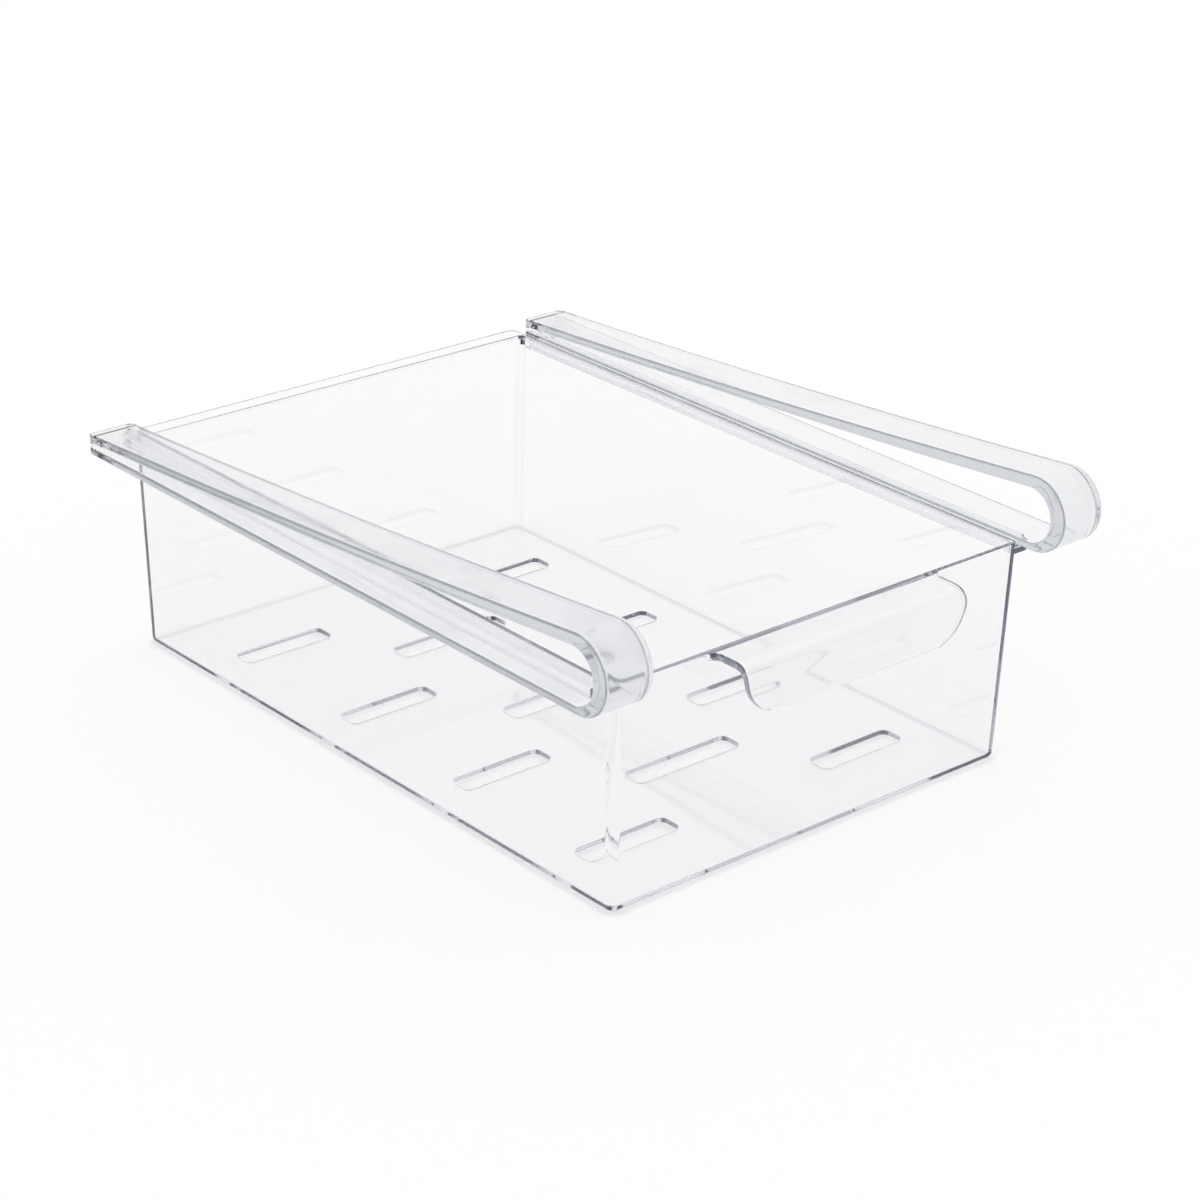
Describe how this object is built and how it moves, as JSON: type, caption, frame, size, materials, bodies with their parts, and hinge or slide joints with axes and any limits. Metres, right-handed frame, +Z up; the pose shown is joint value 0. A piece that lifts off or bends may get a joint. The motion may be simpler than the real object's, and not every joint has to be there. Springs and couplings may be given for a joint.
{
  "type": "fridge drawer organizer",
  "caption": "Clear open-topped fridge bin with a moulded pull and slotted floor, sliding on two hairpin rails that clip over the front edge of a shelf.",
  "frame": {"origin": "on the surface the drawer stands on, under the middle of the whole thing", "axes": "+X to the right as seen from the front, +Y from the pull to the back, +Z up"},
  "size_m": [0.25, 0.328, 0.1211],
  "materials": {
    "clear_drawer": "clear, polished, thin walled",
    "clear_rail": "clear, polished, thick walled"
  },
  "bodies": {
    "rails": {"rail_left": "clear_rail", "rail_right": "clear_rail"},
    "drawer": {"drawer": "clear_drawer"}
  },
  "joints": [
    {"name": "drawer_slide", "type": "slide", "parent": "rails", "child": "drawer", "axis": [0, -1, 0], "range_m": [0, 0.22]}
  ]
}
